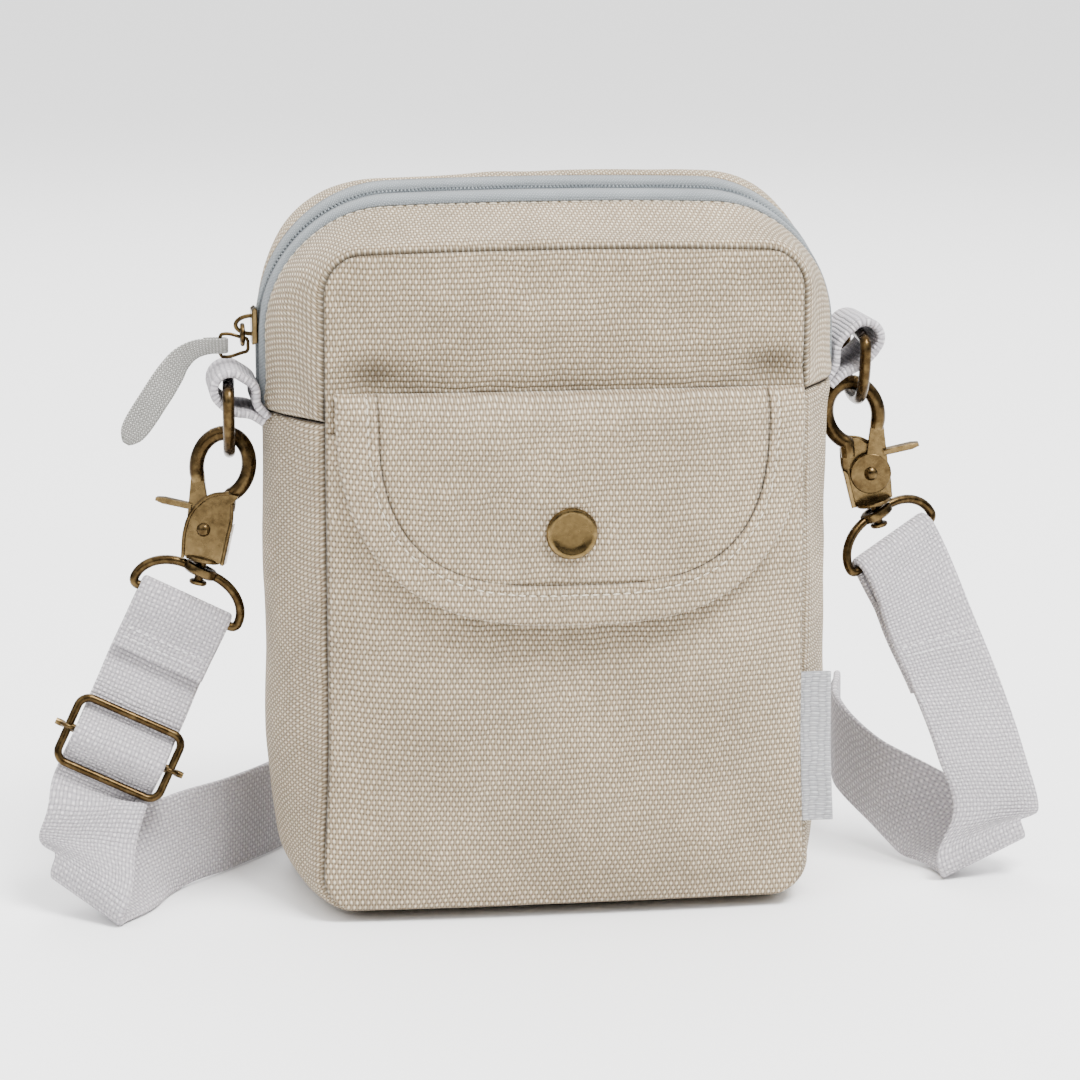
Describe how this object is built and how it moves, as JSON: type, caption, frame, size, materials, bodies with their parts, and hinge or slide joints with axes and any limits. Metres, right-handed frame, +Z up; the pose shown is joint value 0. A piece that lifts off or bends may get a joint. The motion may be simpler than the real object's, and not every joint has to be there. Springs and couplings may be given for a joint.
{
  "type": "crossbody tote bag",
  "caption": "Small canvas crossbody bag with zipped top, snapped front pocket, D rings, trigger hooks and an adjustable webbing strap.",
  "frame": {"origin": "middle of the flat base that the bag stands on", "axes": "+Z up, front faces -Y, the label side is +X"},
  "size_m": [0.263, 0.2043, 0.1848],
  "materials": {
    "canvas": "plain woven canvas",
    "zip_cloth": "woven zip tape",
    "webbing": "cotton webbing",
    "ribbon": "ribbed ribbon",
    "pull_cloth": "herringbone tape",
    "brass": "antique, rubbed on its edges"
  },
  "bodies": {
    "bag": {"front_panel": "canvas", "back_panel": "canvas", "lower_gusset": "canvas", "top_strip_front": "canvas", "top_strip_back": "canvas", "pocket_panel": "canvas", "flap": "canvas", "flap_binding": "canvas", "zip_tape_front": "zip_cloth", "zip_tape_back": "zip_cloth", "zip_chain": "zip_cloth", "tab_loop_left": "webbing", "tab_loop_right": "webbing", "strap": "webbing", "side_label": "ribbon", "pull_tab": "pull_cloth", "snap_cap": "brass", "snap_post": "brass", "zip_slider": "brass", "zip_link": "brass", "zip_ring": "brass", "d_ring_left": "brass", "d_ring_right": "brass", "strap_ring_left": "brass", "strap_ring_right": "brass", "adjuster_frame": "brass", "adjuster_bar": "brass"},
    "hook_left": {"hook_body_left": "brass", "hook_rivet_left": "brass"},
    "lever_left": {"hook_lever_left": "brass"},
    "hook_right": {"hook_body_right": "brass", "hook_rivet_right": "brass"},
    "lever_right": {"hook_lever_right": "brass"}
  },
  "joints": [
    {"name": "swivel_left", "type": "hinge", "parent": "bag", "child": "hook_left", "pos_m": [-0.09072, 0.00021, 0.08549], "axis": [0.2215, 0, 0.9751], "range_deg": [-20, 20]},
    {"name": "lever_left", "type": "hinge", "parent": "hook_left", "child": "lever_left", "pos_m": [-0.08928, 0.00045, 0.09623], "axis": [-0.2359, -0.9703, 0.0536], "range_deg": [0, 25], "stiffness_Nm_per_rad": 0.02, "springref_deg": -11.46},
    {"name": "swivel_right", "type": "hinge", "parent": "bag", "child": "hook_right", "pos_m": [0.08758, 0.00621, 0.09462], "axis": [-0.2504, 0, 0.9681], "range_deg": [-14, 20]},
    {"name": "lever_right", "type": "hinge", "parent": "hook_right", "child": "lever_right", "pos_m": [0.08584, 0.00607, 0.10532], "axis": [0.1347, 0.9903, 0.0348], "range_deg": [0, 25], "stiffness_Nm_per_rad": 0.02, "springref_deg": -11.46}
  ]
}
